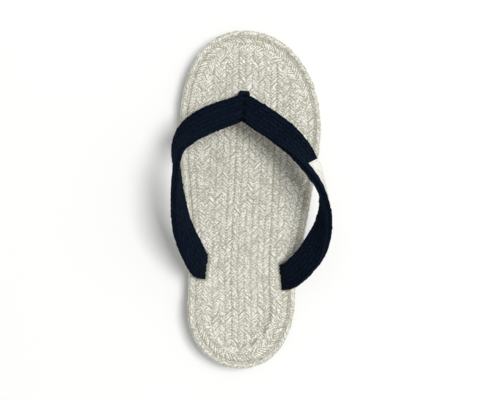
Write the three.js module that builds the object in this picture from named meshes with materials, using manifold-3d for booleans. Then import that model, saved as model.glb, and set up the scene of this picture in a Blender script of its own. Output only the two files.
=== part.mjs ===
// Rope slipper, right shoe: two layers of flat cotton braid inside an edge braid, and one wide
// strap from a slit on each side of the arch to a toe post. Millimetres. The origin is on the
// floor under the middle of the sole, +Y points to the toe, +X to the outer side, +Z up.
import * as THREE from 'three';
import { mergeVertices } from 'three/addons/utils/BufferGeometryUtils.js';
import Module from 'manifold-3d';

const wasm = await Module();
wasm.setup();

// ---- Sole outline. Stations are distances forward of the heel tip. ----
const LENGTH = 250;
const BALL_WIDTH = 105.5;
const BALL_STATION = 179;
const BALL_SHIFT = 5; // middle of the ball, outward of the shoe's axis
const HEEL_WIDTH = 80;
const HEEL_STATION = 50;
const TOE_ROUNDING = 33; // reach of the toe curve along the tip
const SHOULDER_ROUNDING = 40; // reach of the toe curve along each side
const HEEL_ROUNDING = 23; // reach of the heel curve along the tip
const QUARTER_ROUNDING = 30; // reach of the heel curve along each side
const FLANK_REACH = 32; // how long each side stays straight from the ball and from the heel
const INNER_TAPER = 5; // degrees that the inner side turns out at the heel
const OUTER_TAPER = -1.5; // degrees that the outer side turns out at the heel

// ---- Layers ----
const RIM_THICKNESS = 5.6;
const RIM_PROUD = 0.9; // how far the edge braid stands over the footbed
const RIM_ROUND = 2.4;
const RIM_FLOOR = 0.5; // how far the edge braid stays off the floor
const SOLE_THICKNESS = 7.6;
const SOLE_CHAMFER = 1.2;
const FOOTBED_THICKNESS = 7.6;
const FOOTBED_ROUND = 1.4;
const HEEL_RING_WIDTH = 9.4;
const HEEL_RING_RISE = 3;
const HEEL_RING_SLOPE = 3.4; // width of the step from the ring down to the footbed
const HEEL_RING_END = 36; // station where the ring starts to sink
const HEEL_RING_FADE = 30;
const TOE_SPRING = 4.5;
const TOE_SPRING_START = 190;
const GAP = 0.3;
const STRAP_END_LIFT = 3.4; // strap ends stop this far above the footbed's base
const POST_END_LIFT = 0.8;

// ---- Strap ----
const STRAP_WIDTH = 20;
const STRAP_THICKNESS = 5.6;
const STRAP_ROUND = 2.2;
const SEAM_TURN = 5; // degrees that the mitre seam leans inward towards the heel
const MITRE_REACH = 20; // how far from the seam the strap's ends are still skewed
const SLIT_PLAY = 0.7; // clearance between the strap and the rope that it passes through or over

// ---- Toe post: a flat tab, its route given as [station, height over the footbed] ----
const POST_WIDTH = 7.6;
const POST_THICKNESS = 4;
const POST_ROUND = 1.2;
const POST_X = -1.6;
const POST_PLAY = 0.5;
const POST_ROUTE = [
  [201.6, POST_END_LIFT - FOOTBED_THICKNESS], [201.8, 1], [202.2, 11], [201.6, 18], [199.5, 21.5],
];

const OUTLINE_POINTS = 72; // round the outline, an even number
const STRAP_STEPS = 34; // along one arm of the strap
const POST_STEPS = 10;
const MIDDLE_SHARE = 0.62; // how far a plate's last ring is from its edge to its middle line

const FOOTBED_BASE = SOLE_THICKNESS + GAP;
const FOOTBED_TOP = FOOTBED_BASE + FOOTBED_THICKNESS;
const HEEL_Y = -LENGTH / 2;

// The apex as [x, station, height over the footbed]. An arm's stations run from the apex to its
// hidden end: at = [distance outward of the heel's side, station, height over the footbed],
// across = [outward, forward, up], over the face from the top edge to the lower, forward edge.
const APEX = [-2.2, 191.2, 23];
const INNER_ARM = [
  { at: [-12.5, 181.5, 25.5], across: [0.36, 0.9, -0.25] },
  { at: [1, 172.5, 28], across: [0.46, 0.6, -0.65] },
  { at: [9, 159, 30], across: [0.18, 0.2, -0.96] },
  { at: [9.5, 141, 31], across: [-0.12, 0.05, -1] },
  { at: [8, 122, 30], across: [-0.36, 0.18, -0.91] },
  { at: [4.5, 104, 25], across: [-0.52, 0.42, -0.74] },
  { at: [-2, 89, 16], across: [-0.5, 0.75, -0.42] },
  { at: [-8.2, 77.8, 6.2], across: [-0.2, 0.97, -0.1] },
  { at: [-12.8, 75.3, STRAP_END_LIFT - FOOTBED_THICKNESS], across: [-0.05, 1, 0] },
];
const OUTER_ARM = [
  { at: [-20.5, 177.5, 25.5], across: [0.48, 0.83, -0.25] },
  { at: [-5.5, 165, 28], across: [0.6, 0.6, -0.5] },
  { at: [5.5, 150, 30], across: [0.5, 0.35, -0.8] },
  { at: [13, 134, 31], across: [0.2, 0.1, -0.97] },
  { at: [16.2, 117, 30], across: [-0.12, 0.12, -0.98] },
  { at: [14, 101, 26], across: [-0.45, 0.33, -0.82] },
  { at: [7.5, 85.5, 18.5], across: [-0.6, 0.68, -0.4] },
  { at: [-4.8, 70.3, 7], across: [-0.3, 0.94, -0.12] },
  { at: [-10.4, 67.6, STRAP_END_LIFT - FOOTBED_THICKNESS], across: [-0.02, 1, 0] },
];

const radians = THREE.MathUtils.degToRad;
const smooth = THREE.MathUtils.smoothstep;

// ---- Outline ----

// One side of the sole from toe tip to heel tip: side is +1 for the outer, -1 for the inner.
function sideOfSole(side, taper) {
  const toe = new THREE.Vector2(0, LENGTH / 2);
  const ball = new THREE.Vector2(BALL_SHIFT + (side * BALL_WIDTH) / 2, HEEL_Y + BALL_STATION);
  const heel = new THREE.Vector2((side * HEEL_WIDTH) / 2, HEEL_Y + HEEL_STATION);
  const tip = new THREE.Vector2(0, HEEL_Y);
  const back = new THREE.Vector2(side * Math.sin(radians(taper)), -Math.cos(radians(taper)));
  const handle = (from, x, y) => new THREE.Vector2(from.x + x, from.y + y);
  const path = new THREE.CurvePath();
  path.add(new THREE.CubicBezierCurve(
    toe, handle(toe, side * TOE_ROUNDING, 0), handle(ball, 0, SHOULDER_ROUNDING), ball));
  path.add(new THREE.CubicBezierCurve(
    ball, handle(ball, 0, -FLANK_REACH),
    handle(heel, -back.x * FLANK_REACH, -back.y * FLANK_REACH), heel));
  path.add(new THREE.CubicBezierCurve(
    heel, handle(heel, back.x * QUARTER_ROUNDING, back.y * QUARTER_ROUNDING),
    handle(tip, side * HEEL_ROUNDING, 0), tip));
  return path.getSpacedPoints(OUTLINE_POINTS / 2);
}

// The outline anticlockwise from above: toe tip, inner side, heel tip, outer side.
function soleOutline() {
  const inner = sideOfSole(-1, INNER_TAPER);
  const outer = sideOfSole(1, OUTER_TAPER);
  return [...inner, ...outer.reverse().slice(1, -1)];
}

const OUTLINE = soleOutline();

// The outline moved inward by a distance, point for point.
function inset(distance) {
  const count = OUTLINE.length;
  return OUTLINE.map((point, i) => {
    const along = OUTLINE[(i + 1) % count].clone().sub(OUTLINE[(i + count - 1) % count]).normalize();
    return new THREE.Vector2(point.x - along.y * distance, point.y + along.x * distance);
  });
}

// A ring most of the way from an inset ring to the shoe's middle line.
function towardsMiddle(ring, share) {
  const heelEnd = HEEL_Y + HEEL_WIDTH / 2;
  const toeEnd = LENGTH / 2 - BALL_WIDTH / 2;
  return ring.map((point) => {
    const y = THREE.MathUtils.clamp(point.y, heelEnd, toeEnd);
    const x = (BALL_SHIFT * (y - heelEnd)) / (toeEnd - heelEnd);
    return point.clone().lerp(new THREE.Vector2(x, y), share);
  });
}

// How far the shoe's underside has left the floor at y.
function toeSpring(y) {
  const start = HEEL_Y + TOE_SPRING_START;
  const run = Math.max(0, (y - start) / (LENGTH / 2 - start));
  return TOE_SPRING * run * run;
}

// How much of the raised heel ring there is at y, from 0 to 1.
function heelRing(y) {
  const end = HEEL_Y + HEEL_RING_END;
  return 1 - smooth(y, end, end + HEEL_RING_FADE);
}

// ---- Solids ----

function solid(geometry) {
  const bare = geometry.clone();
  bare.deleteAttribute('normal');
  bare.deleteAttribute('uv');
  const merged = mergeVertices(bare, 1e-4);
  return new wasm.Manifold(new wasm.Mesh({
    numProp: 3,
    vertProperties: merged.attributes.position.array,
    triVerts: new Uint32Array(merged.index.array),
  }));
}

function geometryOf(body) {
  const mesh = body.getMesh();
  const geometry = new THREE.BufferGeometry();
  geometry.setAttribute('position', new THREE.BufferAttribute(mesh.vertProperties, 3));
  geometry.setIndex(new THREE.BufferAttribute(mesh.triVerts, 1));
  return geometry;
}

function indexed(points, triangles) {
  const geometry = new THREE.BufferGeometry();
  geometry.setFromPoints(points);
  geometry.setIndex(triangles);
  return geometry;
}

// Triangles between rows of points. Each row is a ring, and so is the set of rows if closed.
function skin(rows, size, closed) {
  const triangles = [];
  const last = closed ? rows : rows - 1;
  for (let row = 0; row < last; row += 1) {
    const next = (row + 1) % rows;
    for (let i = 0; i < size; i += 1) {
      const j = (i + 1) % size;
      const [a, b, c, d] = [row * size + i, row * size + j, next * size + j, next * size + i];
      triangles.push(a, b, c, a, c, d);
    }
  }
  return triangles;
}

// A plate between two faces. Each face is a list of rings, the outermost first, and the last
// ring of each is closed by strips from its inner side to its outer side.
function plate(top, bottom) {
  const size = OUTLINE.length;
  const rings = [...top.slice().reverse(), ...bottom];
  const triangles = skin(rings.length, size, false).reverse();
  const cap = (start, flip) => {
    for (let i = 0; i < size / 2; i += 1) {
      const [a, b, c, d] = [i, i + 1, size - i - 1, (size - i) % size].map((k) => start + k);
      const faces = a === d ? [[a, b, c]] : b === c ? [[a, b, d]] : [[a, b, c], [a, c, d]];
      for (const face of faces) triangles.push(...(flip ? face.reverse() : face));
    }
  };
  cap(0, false);
  cap((rings.length - 1) * size, true);
  return indexed(rings.flat(), triangles);
}

// Rings of a face from their distances inside the plate's edge, and one more near its middle.
// height(distance, y) is the face's height there before the toe spring.
function face(edge, distances, height) {
  const raise = (ring, distance) => ring.map(
    ({ x, y }) => new THREE.Vector3(x, y, height(distance, y) + toeSpring(y)));
  const rings = distances.map((distance) => inset(edge + distance));
  const middle = towardsMiddle(rings.at(-1), MIDDLE_SHARE);
  return [...rings.map((ring, k) => raise(ring, distances[k])), raise(middle, Infinity)];
}

// A rounded rectangle about the origin, anticlockwise, three points to a corner.
function roundedSection(width, height, radius) {
  const round = Math.min(radius, width / 2, height / 2);
  const points = [];
  for (const [sx, sy, start] of [[1, 1, 0], [-1, 1, 90], [-1, -1, 180], [1, -1, 270]]) {
    for (const turn of [0, 45, 90]) {
      const angle = radians(start + turn);
      points.push(new THREE.Vector2(
        sx * (width / 2 - round) + round * Math.cos(angle),
        sy * (height / 2 - round) + round * Math.sin(angle)));
    }
  }
  return points;
}

// End caps for a sweep of rings.
function endCaps(rows, size) {
  const triangles = [];
  for (let i = 1; i < size - 1; i += 1) {
    triangles.push(0, i + 1, i);
    const start = (rows - 1) * size;
    triangles.push(start, start + i, start + i + 1);
  }
  return triangles;
}

// ---- Sole layers ----

function soleGeometry() {
  const edge = RIM_THICKNESS + GAP;
  const top = face(edge, [0], () => SOLE_THICKNESS);
  const bottom = face(edge, [0, SOLE_CHAMFER], (distance) => (distance === 0 ? SOLE_CHAMFER : 0));
  return plate(top, bottom);
}

// A cutter for the post's end.
function postSlot() {
  const shape = new THREE.Shape(roundedSection(
    POST_WIDTH + 2 * POST_PLAY, POST_THICKNESS + 2 * POST_PLAY, POST_ROUND + POST_PLAY));
  const cutter = new THREE.ExtrudeGeometry(shape, { depth: FOOTBED_TOP * 2, bevelEnabled: false });
  cutter.translate(POST_X, HEEL_Y + POST_ROUTE[0][0], 0);
  return solid(cutter);
}

function footbedGeometry() {
  const edge = RIM_THICKNESS + GAP;
  const ring = HEEL_RING_WIDTH;
  const bottom = face(edge, [0], () => FOOTBED_BASE);
  const top = face(edge, [0, FOOTBED_ROUND, ring, ring + HEEL_RING_SLOPE], (distance, y) => {
    const round = distance === 0 ? FOOTBED_ROUND : 0;
    const raised = distance <= ring ? HEEL_RING_RISE * heelRing(y) : 0;
    return FOOTBED_TOP + raised - round;
  });
  return geometryOf(solid(plate(top, bottom))
    .subtract(strapSolid(SLIT_PLAY, FOOTBED_THICKNESS))
    .subtract(postSlot()));
}

// The edge braid: a rounded section carried round the outline, its height following the layers,
// pressed down where the strap passes over it.
function rimGeometry() {
  const rows = OUTLINE.map(() => []);
  const insets = new Map();
  const profile = (y) => {
    const height = FOOTBED_TOP + RIM_PROUD - RIM_FLOOR + HEEL_RING_RISE * heelRing(y);
    return roundedSection(RIM_THICKNESS, height, RIM_ROUND)
      .map((point) => [RIM_THICKNESS / 2 + point.x, point.y + RIM_FLOOR + height / 2]);
  };
  const depths = profile(0).map(([depth]) => depth);
  depths.forEach((depth) => insets.set(depth, inset(depth)));
  OUTLINE.forEach((point, i) => {
    const levels = profile(point.y);
    depths.forEach((depth, k) => {
      const at = insets.get(depth)[i];
      rows[i].push(new THREE.Vector3(at.x, at.y, levels[k][1] + toeSpring(at.y)));
    });
  });
  const band = solid(indexed(rows.flat(), skin(rows.length, depths.length, true)));
  return geometryOf(band.subtract(strapSolid(SLIT_PLAY)));
}

// ---- Strap ----

// The normal of the upright plane that holds the mitre seam, pointing to the outer arm.
const SEAM_NORMAL = new THREE.Vector3(Math.cos(radians(SEAM_TURN)), -Math.sin(radians(SEAM_TURN)), 0);

function place([x, station, height]) {
  return new THREE.Vector3(x, HEEL_Y + station, FOOTBED_TOP + height);
}

// Rings of one section along a line of centres, its face turned by a line of directions.
// side is the hand of the section, and shift moves a ring's points along the band.
function sweepRings(centres, faces, section, steps, side, shift) {
  const rings = [];
  for (let row = 0; row <= steps; row += 1) {
    const t = centres.getUtoTmapping(row / steps);
    const centre = centres.getPoint(t);
    const along = centres.getTangent(t);
    const across = faces.getPoint(t);
    across.addScaledVector(along, -across.dot(along)).normalize();
    const out = new THREE.Vector3().crossVectors(along, across).multiplyScalar(side);
    rings.push(section.map((point) => {
      const at = centre.clone().addScaledVector(across, point.x).addScaledVector(out, point.y);
      return at.addScaledVector(along, shift(at, along, row / steps, point));
    }));
  }
  return rings;
}

function closedSweep(rings) {
  const size = rings[0].length;
  const triangles = [...skin(rings.length, size, false), ...endCaps(rings.length, size)];
  return solid(indexed(rings.flat(), triangles));
}

// One arm's rings from the mitre to the hidden end, swollen by spare and with a longer end.
function armRings(arm, side, spare, longer) {
  const apex = place(APEX);
  const stations = [apex];
  const directions = [];
  for (const { at: [outward, station, height], across: [x, y, z] } of arm) {
    stations.push(place([side * (HEEL_WIDTH / 2 + outward), station, height]));
    directions.push(new THREE.Vector3(side * x, y, z));
  }
  directions.unshift(directions[0]);
  if (longer > 0) {
    const onwards = stations.at(-1).clone().sub(stations.at(-2)).setLength(longer);
    stations.push(stations.at(-1).clone().add(onwards));
    directions.push(directions.at(-1));
  }
  const centres = new THREE.CatmullRomCurve3(stations);
  const faces = new THREE.CatmullRomCurve3(directions);
  const section = roundedSection(STRAP_WIDTH + 2 * spare, STRAP_THICKNESS + 2 * spare, STRAP_ROUND + spare);
  const reach = MITRE_REACH / centres.getLength();
  const toSeam = section.map(() => 0);
  return sweepRings(centres, faces, section, STRAP_STEPS, side, (at, along, share, point) => {
    const k = section.indexOf(point);
    if (share === 0) toSeam[k] = apex.clone().sub(at).dot(SEAM_NORMAL) / along.dot(SEAM_NORMAL);
    return toSeam[k] * Math.max(0, 1 - share / reach);
  });
}

// The whole strap as one band through the mitre, or a swollen and lengthened copy that cuts room
// for it. The arms' first rings both lie in the seam, where they are drawn together.
function strapSolid(spare = 0, longer = 0) {
  const inner = armRings(INNER_ARM, -1, spare, longer);
  const outer = armRings(OUTER_ARM, 1, spare, longer);
  const mitre = inner[0].map((point, k) => point.clone().lerp(outer[0][k], 0.5));
  return closedSweep([...inner.slice(1).reverse(), mitre, ...outer.slice(1)]);
}

// ---- Toe post ----

// The post from the sole into the front edge of the strap, less the strap.
function postGeometry() {
  const centres = new THREE.CatmullRomCurve3(
    POST_ROUTE.map(([station, height]) => place([POST_X, station, height])));
  const faces = new THREE.LineCurve3(new THREE.Vector3(1, 0, 0), new THREE.Vector3(1, 0, 0));
  const section = roundedSection(POST_WIDTH, POST_THICKNESS, POST_ROUND);
  const rings = sweepRings(centres, faces, section, POST_STEPS, 1, () => 0);
  return geometryOf(closedSweep(rings).subtract(strapSolid(GAP)));
}

// ---- Assembly ----

const rope = new THREE.MeshStandardMaterial({ color: 0xd5d5cb, roughness: 0.95, metalness: 0 });
const edging = new THREE.MeshStandardMaterial({ color: 0xdadacf, roughness: 0.95, metalness: 0 });
const navy = new THREE.MeshStandardMaterial({ color: 0x0d1a2c, roughness: 0.85, metalness: 0 });

function piece(name, geometry, material) {
  const mesh = new THREE.Mesh(geometry, material.clone());
  mesh.name = name;
  return mesh;
}

const slipper = new THREE.Group();
slipper.add(piece('sole', soleGeometry(), rope));
slipper.add(piece('footbed', footbedGeometry(), rope));
slipper.add(piece('rim', rimGeometry(), edging));
slipper.add(piece('strap', geometryOf(strapSolid()), navy));
slipper.add(piece('toe_post', postGeometry(), navy));

export default slipper;
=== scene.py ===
"""A rope slipper, right shoe: braided cotton sole, one wide navy strap and a toe post.

Sizes are in millimetres in the maker's frame, and turn into metres when a mesh is made. The
origin is on the floor under the middle of the sole, +Y points to the toe, +X to the outer side.
"""

import logging
import math
from dataclasses import dataclass, field
from enum import Enum
from functools import cached_property
from typing import Any, Callable, Sequence

import bpy
import numpy as np
from mathutils import Matrix, Vector


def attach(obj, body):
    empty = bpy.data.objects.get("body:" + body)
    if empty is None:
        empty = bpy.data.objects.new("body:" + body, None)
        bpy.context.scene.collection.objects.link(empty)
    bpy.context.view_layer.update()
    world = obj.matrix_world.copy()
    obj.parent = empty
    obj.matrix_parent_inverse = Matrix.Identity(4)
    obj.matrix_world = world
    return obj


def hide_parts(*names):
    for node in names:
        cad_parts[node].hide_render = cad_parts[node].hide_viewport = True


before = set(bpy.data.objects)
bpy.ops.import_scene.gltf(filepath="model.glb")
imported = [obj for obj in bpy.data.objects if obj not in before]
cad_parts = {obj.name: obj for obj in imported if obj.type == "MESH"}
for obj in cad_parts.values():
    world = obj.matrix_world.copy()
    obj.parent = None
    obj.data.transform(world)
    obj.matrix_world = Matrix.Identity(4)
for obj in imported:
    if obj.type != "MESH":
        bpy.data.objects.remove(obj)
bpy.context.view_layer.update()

LOG = logging.getLogger("rope_slipper")
MM = 0.001
BODY = "root"
SEARCH_ROWS = 4000
ARC_POINTS = 12
PointRule = Callable[[np.ndarray], np.ndarray]
Material = bpy.types.Material
Piece = bpy.types.Object
Socket = bpy.types.NodeSocket
Slab = tuple[Sequence["MeshPart"], Material]

# ---- Layers of the sole, as in the maker's model ----
RIM_THICKNESS = 5.6
RIM_PROUD = 0.9
RIM_ROUND = 2.4
RIM_FLOOR = 0.5
SOLE_THICKNESS = 7.6
FOOTBED_THICKNESS = 7.6
HEEL_RING_WIDTH = 9.4
HEEL_RING_RISE = 3.0
HEEL_RING_SLOPE = 3.4
HEEL_RING_END = 36.0
HEEL_RING_FADE = 30.0
HEEL_RING_SHOULDER = 0.72
GAP = 0.3
FOOTBED_BASE = SOLE_THICKNESS + GAP
FOOTBED_TOP = FOOTBED_BASE + FOOTBED_THICKNESS
FIELD_EDGE = RIM_THICKNESS + GAP
STRAP_END_LIFT = 3.4
POST_END_LIFT = 0.8


class Hand(Enum):
    """The two sides of the shoe."""

    INNER = -1
    OUTER = 1


class Face(Enum):
    """The two faces of the sole that show."""

    TOP = 1
    UNDER = -1


# ---- Small maths ----


def unit(vectors: np.ndarray) -> np.ndarray:
    """Vectors scaled to length one."""
    return vectors / np.maximum(np.linalg.norm(vectors, axis=-1, keepdims=True), 1e-9)


def smooth(value: np.ndarray, low: float, high: float) -> np.ndarray:
    """A smooth step from 0 at low to 1 at high."""
    share = np.clip((value - low) / (high - low), 0.0, 1.0)
    return share * share * (3.0 - 2.0 * share)


def distances(line: np.ndarray) -> np.ndarray:
    """How far along a line each of its points is."""
    steps = np.linalg.norm(np.diff(line, axis=0), axis=1)
    return np.concatenate([[0.0], np.cumsum(steps)])


def read(at: np.ndarray, places: np.ndarray, values: np.ndarray) -> np.ndarray:
    """Vectors kept for rising places, read at and between them."""
    return np.stack([np.interp(at, places, column) for column in values.T], -1)


def bezier(points: Sequence[Sequence[float]], count: int) -> np.ndarray:
    """Points of a cubic curve.

    Args:
        points: its four control points.
        count: how many points to return.

    Returns:
        The points in order, both ends included.
    """
    a, b, c, d = (np.array(point, float) for point in points)
    t = np.linspace(0.0, 1.0, count)[:, None]
    u = 1.0 - t
    return u**3 * a + 3 * u * u * t * b + 3 * u * t * t * c + t**3 * d


def evenly(points: np.ndarray, step: float) -> np.ndarray:
    """The same line with its points evenly spaced.

    Args:
        points: the line.
        step: about how far apart the new points are.

    Returns:
        The new points, both ends included.
    """
    lengths = distances(points)
    count = max(2, int(round(lengths[-1] / step)) + 1)
    return read(np.linspace(0.0, lengths[-1], count), lengths, points)


def nearest(points: np.ndarray, places: np.ndarray) -> tuple[np.ndarray, np.ndarray]:
    """The nearest place to each point.

    Args:
        points: rows of points.
        places: rows of places.

    Returns:
        The row of each point's nearest place, and the way from there to the point.
    """
    rows = np.empty(len(points), int)
    for start in range(0, len(points), SEARCH_ROWS):
        away = points[start:start + SEARCH_ROWS, None] - places
        rows[start:start + SEARCH_ROWS] = (away**2).sum(-1).argmin(1)
    return rows, points - places[rows]


def corners(box: tuple[float, float, float, float], radius: float, starts: Sequence[float],
            turn: float, step: int = 1) -> np.ndarray:
    """Rounded corners of a box, in the order in which a line meets them.

    Args:
        box: its left, right, lower and upper side.
        radius: the radius of the corners.
        starts: the angle in degrees at which each corner's arc starts.
        turn: how many degrees each arc turns.
        step: 1 to take every point of an arc, 3 to take every third.

    Returns:
        The points of the arcs, one arc after the other.
    """
    left, right, low, high = box
    arcs = []
    for start in starts:
        middle = math.radians(start + turn / 2)
        x = right - radius if math.cos(middle) > 0 else left + radius
        y = high - radius if math.sin(middle) > 0 else low + radius
        angles = np.radians(np.linspace(start, start + turn, ARC_POINTS))[::step]
        arcs.append(np.array([x, y]) + radius * np.stack([np.cos(angles), np.sin(angles)], 1))
    return np.vstack(arcs)


# ---- Lines that braids follow ----


@dataclass
class Course:
    """A line on the sole, seen from above, that a braid follows."""

    points: np.ndarray
    closed: bool = False

    def __post_init__(self) -> None:
        """Works out lengths along the line and its left-hand normals."""
        if self.closed:
            self.line = np.vstack([self.points, self.points[:1]])
            along = unit(np.roll(self.points, -1, axis=0) - np.roll(self.points, 1, axis=0))
            along = np.vstack([along, along[:1]])
        else:
            self.line = self.points
            along = unit(np.gradient(self.points, axis=0))
        self.stations = distances(self.line)
        self.length = float(self.stations[-1])
        self.left = np.stack([-along[:, 1], along[:, 0]], axis=1)

    def place(self, along: np.ndarray, across: np.ndarray) -> np.ndarray:
        """Points on the sole.

        Args:
            along: distances along the line.
            across: distances to its left.

        Returns:
            The points, with one more axis of length two.
        """
        at = np.mod(along, self.length) if self.closed else along
        line, left = (read(at, self.stations, values) for values in (self.line, self.left))
        left = unit(left)
        spare = np.zeros_like(at) if self.closed else at - np.clip(at, 0.0, self.length)
        onward = np.stack([left[..., 1], -left[..., 0]], -1)
        return line + left * across[..., None] + onward * spare[..., None]


@dataclass(frozen=True)
class Outline:
    """The sole's edge seen from above. Stations are distances forward of the heel tip."""

    length: float = 250.0
    ball_width: float = 105.5
    ball_station: float = 179.0
    ball_shift: float = 5.0
    heel_width: float = 80.0
    heel_station: float = 50.0
    toe_rounding: float = 33.0
    shoulder_rounding: float = 40.0
    heel_rounding: float = 23.0
    quarter_rounding: float = 30.0
    flank_reach: float = 32.0
    inner_taper: float = 5.0
    outer_taper: float = -1.5
    toe_spring: float = 4.5
    toe_spring_start: float = 190.0
    curve_points: int = 240
    step: float = 1.0

    @property
    def heel_y(self) -> float:
        """Where the heel tip is."""
        return -self.length / 2

    def side(self, hand: Hand) -> np.ndarray:
        """One side of the sole.

        Args:
            hand: which side.

        Returns:
            Its points from toe tip to heel tip.
        """
        side = hand.value
        taper = math.radians(self.inner_taper if hand is Hand.INNER else self.outer_taper)
        toe = (0.0, self.length / 2)
        ball = (self.ball_shift + side * self.ball_width / 2, self.heel_y + self.ball_station)
        heel = (side * self.heel_width / 2, self.heel_y + self.heel_station)
        tip = (0.0, self.heel_y)
        back = (side * math.sin(taper), -math.cos(taper))
        reach, quarter = self.flank_reach, self.quarter_rounding
        runs = [
            (toe, (toe[0] + side * self.toe_rounding, toe[1]),
             (ball[0], ball[1] + self.shoulder_rounding), ball),
            (ball, (ball[0], ball[1] - reach),
             (heel[0] - back[0] * reach, heel[1] - back[1] * reach), heel),
            (heel, (heel[0] + back[0] * quarter, heel[1] + back[1] * quarter),
             (side * self.heel_rounding, tip[1]), tip),
        ]
        curves = [bezier(run, self.curve_points)[:-1] for run in runs]
        return np.vstack([*curves, np.array([tip])])

    @cached_property
    def edge(self) -> Course:
        """The whole edge, anticlockwise from above, starting at the toe tip."""
        inner, outer = self.side(Hand.INNER), self.side(Hand.OUTER)
        return Course(evenly(np.vstack([inner, outer[::-1][1:]]), self.step)[:-1], closed=True)

    def inset(self, depth: float) -> Course:
        """The edge moved inward by a depth, as a closed course."""
        points = self.edge.line + self.edge.left * depth
        return Course(evenly(points, self.step)[:-1], closed=True)

    def depth(self, points: np.ndarray) -> np.ndarray:
        """How far points lie inside the edge.

        Args:
            points: points seen from above.

        Returns:
            Their distances from the edge, negative outside it.
        """
        rows, gap = nearest(points.reshape(-1, 2), self.edge.line[:-1])
        return (gap * self.edge.left[rows]).sum(-1).reshape(points.shape[:-1])

    def middle(self, y: np.ndarray) -> np.ndarray:
        """The x of the shoe's middle line, straight between the round ends.

        Args:
            y: distances forward of the sole's middle.

        Returns:
            One x for each y.
        """
        heel_end = self.heel_y + self.heel_width / 2
        toe_end = self.length / 2 - self.ball_width / 2
        return self.ball_shift * (np.clip(y, heel_end, toe_end) - heel_end) / (toe_end - heel_end)

    def spring(self, y: np.ndarray) -> np.ndarray:
        """How far the shoe's underside has left the floor at y."""
        start = self.heel_y + self.toe_spring_start
        return self.toe_spring * np.clip((y - start) / (self.length / 2 - start), 0.0, 1.0) ** 2

    def heel_ring(self, y: np.ndarray) -> np.ndarray:
        """How much of the raised heel ring there is at y, from 0 to 1."""
        end = self.heel_y + HEEL_RING_END
        return 1.0 - smooth(y, end, end + HEEL_RING_FADE)

    def raised(self, points: np.ndarray, depth: np.ndarray) -> np.ndarray:
        """How far the heel ring lifts the footbed.

        Args:
            points: points seen from above.
            depth: how far inside the edge they are.

        Returns:
            The lift at each point, a low dome over the ring and nothing inside it.
        """
        inside = FIELD_EDGE + HEEL_RING_WIDTH
        ring = 1.0 - smooth(depth, inside, inside + HEEL_RING_SLOPE)
        share = smooth(depth, FIELD_EDGE, inside - 1.0)
        dome = HEEL_RING_SHOULDER + (1.0 - HEEL_RING_SHOULDER) * share
        return HEEL_RING_RISE * self.heel_ring(points[..., 1]) * ring * dome


@dataclass(frozen=True)
class Spline:
    """A centripetal curve through points, as in the maker's model."""

    points: np.ndarray

    def at(self, share: np.ndarray) -> np.ndarray:
        """Points on the curve.

        Args:
            share: places from 0 to 1, the same step from each point to the next.

        Returns:
            One point for each place.
        """
        given = self.points
        last = len(given) - 1
        row = np.minimum(np.floor(share * last).astype(int), last - 1)
        weight = (share * last - row)[:, None]
        padded = np.vstack([2 * given[0] - given[1], given, 2 * given[-1] - given[-2]])
        a, b, c, d = (padded[row + k] for k in range(4))
        spans = [np.sqrt(np.linalg.norm(q - p, axis=1))[:, None] for p, q in ((a, b), (b, c), (c, d))]
        mid = np.where(spans[1] < 1e-4, 1.0, spans[1])
        first = np.where(spans[0] < 1e-4, mid, spans[0])
        final = np.where(spans[2] < 1e-4, mid, spans[2])
        start = ((b - a) / first - (c - a) / (first + mid) + (c - b) / mid) * mid
        end = ((c - b) / mid - (d - b) / (mid + final) + (d - c) / final) * mid
        w2, w3 = weight**2, weight**3
        return (2 * w3 - 3 * w2 + 1) * b + (w3 - 2 * w2 + weight) * start \
            + (3 * w2 - 2 * w3) * c + (w3 - w2) * end


@dataclass
class Band:
    """A flat band in space: a centre line, and at each place the directions across and out."""

    stations: np.ndarray
    directions: np.ndarray
    side: int
    seam: np.ndarray | None = None
    mitre_reach: float = 20.0
    step: float = 0.5
    samples: int = 3001

    def __post_init__(self) -> None:
        """Samples the band's frames evenly along its length."""
        fine = np.linspace(0.0, 1.0, self.samples)
        lengths = distances(Spline(self.stations).at(fine))
        self.length = float(lengths[-1])
        self.places = np.linspace(0.0, self.length, int(self.length / self.step) + 1)
        share = np.interp(self.places, lengths, fine)
        self.centre = Spline(self.stations).at(share)
        self.along = unit(np.gradient(self.centre, axis=0))
        across = Spline(self.directions).at(share)
        across -= self.along * (across * self.along).sum(-1, keepdims=True)
        self.across = unit(across)
        self.out = self.side * np.cross(self.along, self.across)

    def frames(self, along: np.ndarray) -> tuple[np.ndarray, np.ndarray]:
        """The directions across and out at distances along the band."""
        return tuple(unit(read(along, self.places, axis)) for axis in (self.across, self.out))

    def place(self, along: np.ndarray, across: np.ndarray, out: np.ndarray) -> np.ndarray:
        """Points of the band, skewed near its mitre seam so that it ends in the seam's plane.

        Args:
            along: distances from the band's start.
            across: distances over the face, from its middle.
            out: distances from the middle of the thickness.

        Returns:
            The points, with one more axis of length three.
        """
        sideways, outward = self.frames(along)
        points = read(along, self.places, self.centre)
        points = points + sideways * across[..., None] + outward * out[..., None]
        if self.seam is not None:
            lean = self.along[0] @ self.seam
            to_seam = -(self.across[0] @ self.seam * across + self.out[0] @ self.seam * out) / lean
            share = np.clip(1.0 - along / self.mitre_reach, 0.0, 1.0)
            onward = unit(read(along, self.places, self.along))
            points = points + onward * (to_seam * share)[..., None]
        return points

    def local(self, points: np.ndarray) -> np.ndarray:
        """Where points are, seen from their nearest places on every second sample of the band.

        Args:
            points: points near the band.

        Returns:
            Their distances along, across and out, as the three rows of a first axis.
        """
        rows, gap = nearest(points.reshape(-1, 3), self.centre[::2])
        axes = (self.along, self.across, self.out)
        found = np.stack([(gap * axis[::2][rows]).sum(-1) for axis in axes])
        return found.reshape(3, *points.shape[:-1])


# ---- Meshes ----


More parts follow.
